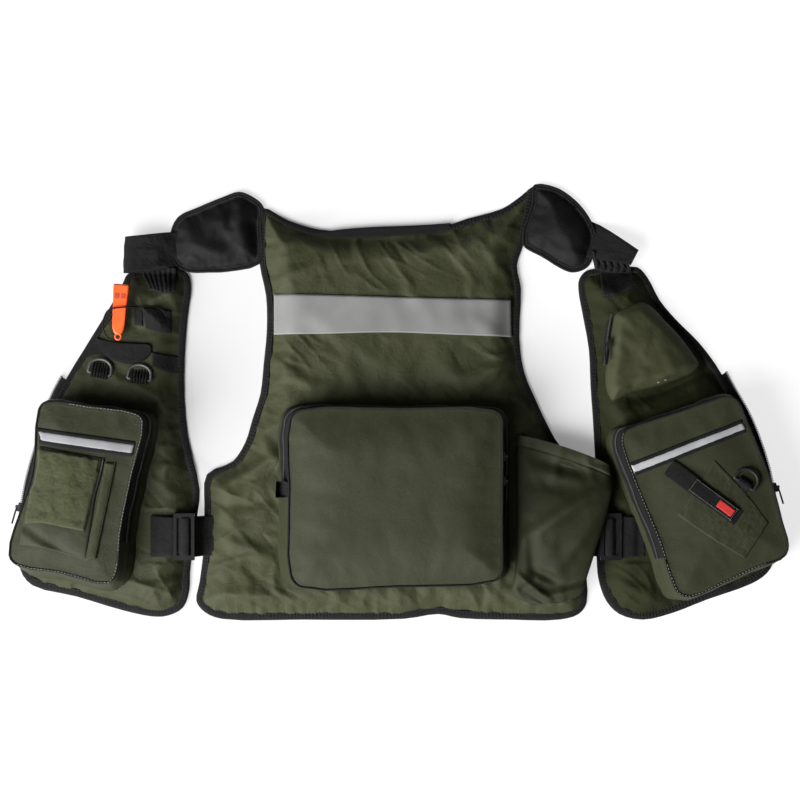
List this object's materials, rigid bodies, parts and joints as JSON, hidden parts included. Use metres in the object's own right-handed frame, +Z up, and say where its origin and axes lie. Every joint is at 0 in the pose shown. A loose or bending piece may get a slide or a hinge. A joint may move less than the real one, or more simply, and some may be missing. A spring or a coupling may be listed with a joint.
{
  "type": "fishing vest",
  "caption": "Padded olive fishing vest laid open and flat, with zipped cargo pockets, an open bottle pocket, reflective bands, shoulder pads, D-rings and a whistle.",
  "frame": {"origin": "on the surface that the vest lies on, under the middle of its box", "axes": "+Z up out of the outer face, +Y towards the collar, +X across the vest; the vest lies flat, lining down"},
  "size_m": [0.9593, 0.5441, 0.0666],
  "materials": {
    "lining_mesh": "black polyester mesh lining",
    "foam": "closed-cell flotation foam, hidden inside",
    "olive_nylon": "olive coated nylon twill",
    "pocket_nylon": "olive coated nylon twill, doubled",
    "bottle_nylon": "olive coated nylon",
    "loop_patch": "olive brushed loop fabric",
    "binding_tape": "black grosgrain binding",
    "reflective_tape": "silver reflective tape",
    "zip_tape": "black coil zip on woven tape",
    "pad_nylon": "black coated nylon over soft foam",
    "webbing": "black ribbed webbing",
    "black_plastic": "moulded acetal",
    "zip_metal": "black painted zinc",
    "puller_plastic": "moulded plastic over cord",
    "orange_plastic": "safety orange moulding",
    "cord_black": "braided cord"
  },
  "bodies": {
    "back_panel": {"back_lining": "lining_mesh", "back_foam": "foam", "back_shell": "olive_nylon", "back_binding": "binding_tape", "neck_facing": "binding_tape", "reflective_band": "reflective_tape", "back_pocket_body": "pocket_nylon", "back_pocket_face": "pocket_nylon", "back_pocket_piping": "binding_tape", "back_pocket_zip": "zip_tape", "bottle_pocket": "bottle_nylon", "bottle_pocket_hem": "bottle_nylon", "left_shoulder_pad": "pad_nylon", "right_shoulder_pad": "pad_nylon", "side_strap_ends": "webbing"},
    "left_front": {"left_lining": "lining_mesh", "left_foam": "foam", "left_shell": "olive_nylon", "left_binding": "binding_tape", "left_front_zip": "zip_tape", "left_shoulder_strap": "webbing", "left_utility_webbing": "webbing", "left_side_strap": "webbing", "whistle_cord": "cord_black", "left_pocket_body": "pocket_nylon", "left_pocket_face": "pocket_nylon", "left_pocket_piping": "binding_tape", "left_pocket_zip": "zip_tape", "left_reflective_strip": "reflective_tape", "patch_pocket": "bottle_nylon"},
    "right_front": {"right_lining": "lining_mesh", "right_foam": "foam", "right_shell": "olive_nylon", "right_binding": "binding_tape", "right_front_zip": "zip_tape", "right_shoulder_strap": "webbing", "right_side_strap": "webbing", "chest_pocket": "olive_nylon", "right_pocket_body": "pocket_nylon", "right_pocket_face": "pocket_nylon", "right_pocket_piping": "binding_tape", "right_pocket_fittings": "zip_tape"},
    "back_pocket_slider_upper": {"back_pocket_slider_upper": "zip_metal"},
    "back_pocket_slider_lower": {"back_pocket_slider_lower": "zip_metal"},
    "back_pocket_puller_upper": {"back_pocket_puller_upper": "puller_plastic"},
    "back_pocket_puller_lower": {"back_pocket_puller_lower": "puller_plastic"},
    "left_tri_glide": {"left_tri_glide": "black_plastic"},
    "whistle": {"whistle": "orange_plastic"},
    "d_ring_outer": {"d_ring_outer": "black_plastic"},
    "d_ring_inner": {"d_ring_inner": "black_plastic"},
    "left_pocket_slider": {"left_pocket_slider": "zip_metal"},
    "left_pocket_puller": {"left_pocket_puller": "puller_plastic"},
    "patch_pocket_flap": {"patch_pocket_flap": "loop_patch"},
    "right_tri_glide": {"right_tri_glide": "black_plastic"},
    "chest_pocket_slider": {"chest_pocket_slider": "zip_metal"},
    "chest_pocket_puller": {"chest_pocket_puller": "puller_plastic"},
    "rod_strap": {"rod_strap": "webbing"},
    "d_ring_right": {"d_ring_right": "black_plastic"},
    "right_pocket_slider": {"right_pocket_slider": "zip_metal"},
    "right_pocket_puller": {"right_pocket_puller": "puller_plastic"}
  },
  "joints": [
    {"name": "left_front_fold", "type": "hinge", "parent": "back_panel", "child": "left_front", "pos_m": [-0.245, 0, 0.01], "axis": [0, 1, 0], "range_deg": [0, 100]},
    {"name": "right_front_fold", "type": "hinge", "parent": "back_panel", "child": "right_front", "pos_m": [0.243, -0.1, 0.01], "axis": [0.062, -0.9981, 0], "range_deg": [0, 60]},
    {"name": "left_tri_glide_slide", "type": "slide", "parent": "left_front", "child": "left_tri_glide", "axis": [-1, 0, 0], "range_m": [0, 0.012]},
    {"name": "right_tri_glide_slide", "type": "slide", "parent": "right_front", "child": "right_tri_glide", "axis": [1, 0, 0], "range_m": [0, 0.007]},
    {"name": "d_ring_outer_swing", "type": "hinge", "parent": "left_front", "child": "d_ring_outer", "pos_m": [-0.369, 0.036, 0.0223], "axis": [0.9816, -0.1908, 0], "range_deg": [0, 120]},
    {"name": "d_ring_inner_swing", "type": "hinge", "parent": "left_front", "child": "d_ring_inner", "pos_m": [-0.32, 0.029, 0.0223], "axis": [0.9925, -0.1219, 0], "range_deg": [0, 120]},
    {"name": "d_ring_right_swing", "type": "hinge", "parent": "right_front", "child": "d_ring_right", "pos_m": [0.4215, -0.0985, 0.0638], "axis": [0.829, -0.5592, 0], "range_deg": [0, 120]},
    {"name": "whistle_slide", "type": "slide", "parent": "left_front", "child": "whistle", "axis": [0.0698, 0.9976, 0], "range_m": [0, 0.015]},
    {"name": "flap_lift", "type": "hinge", "parent": "left_front", "child": "patch_pocket_flap", "pos_m": [-0.3975, -0.057, 0.0633], "axis": [-0.981, 0.1938, 0], "range_deg": [0, 100]},
    {"name": "rod_strap_lift", "type": "hinge", "parent": "right_front", "child": "rod_strap", "pos_m": [0.328, -0.077, 0.0629], "axis": [-0.591, -0.8067, 0], "range_deg": [0, 80]},
    {"name": "upper_slider_slide", "type": "slide", "parent": "back_panel", "child": "back_pocket_slider_upper", "axis": [0, 1, 0], "range_m": [0, 0.032]},
    {"name": "lower_slider_slide", "type": "slide", "parent": "back_panel", "child": "back_pocket_slider_lower", "axis": [0, -1, 0], "range_m": [0, 0.085]},
    {"name": "left_slider_slide", "type": "slide", "parent": "left_front", "child": "left_pocket_slider", "axis": [-0.2756, -0.9613, 0], "range_m": [-0.02, 0.035]},
    {"name": "right_slider_slide", "type": "slide", "parent": "right_front", "child": "right_pocket_slider", "axis": [0.2924, -0.9563, 0], "range_m": [-0.015, 0.03]},
    {"name": "chest_slider_slide", "type": "slide", "parent": "right_front", "child": "chest_pocket_slider", "axis": [0, 1, 0], "range_m": [0, 0.025]},
    {"name": "puller_upper_flip", "type": "hinge", "parent": "back_pocket_slider_upper", "child": "back_pocket_puller_upper", "pos_m": [0.1334, -0.066, 0.0515], "axis": [0, 0, 1], "range_deg": [0, 140]},
    {"name": "puller_lower_flip", "type": "hinge", "parent": "back_pocket_slider_lower", "child": "back_pocket_puller_lower", "pos_m": [0.1334, -0.096, 0.0515], "axis": [0, 0, 1], "range_deg": [0, 140]},
    {"name": "left_pocket_puller_flip", "type": "hinge", "parent": "left_pocket_slider", "child": "left_pocket_puller", "pos_m": [-0.46511, -0.12668, 0.0515], "axis": [0, 0, -1], "range_deg": [0, 140]},
    {"name": "right_pocket_puller_flip", "type": "hinge", "parent": "right_pocket_slider", "child": "right_pocket_puller", "pos_m": [0.46509, -0.1026, 0.0515], "axis": [0, 0, 1], "range_deg": [0, 140]},
    {"name": "chest_pocket_puller_flip", "type": "hinge", "parent": "chest_pocket_slider", "child": "chest_pocket_puller", "pos_m": [0.2567, 0.072, 0.0285], "axis": [0, 0, -1], "range_deg": [0, 140]}
  ]
}
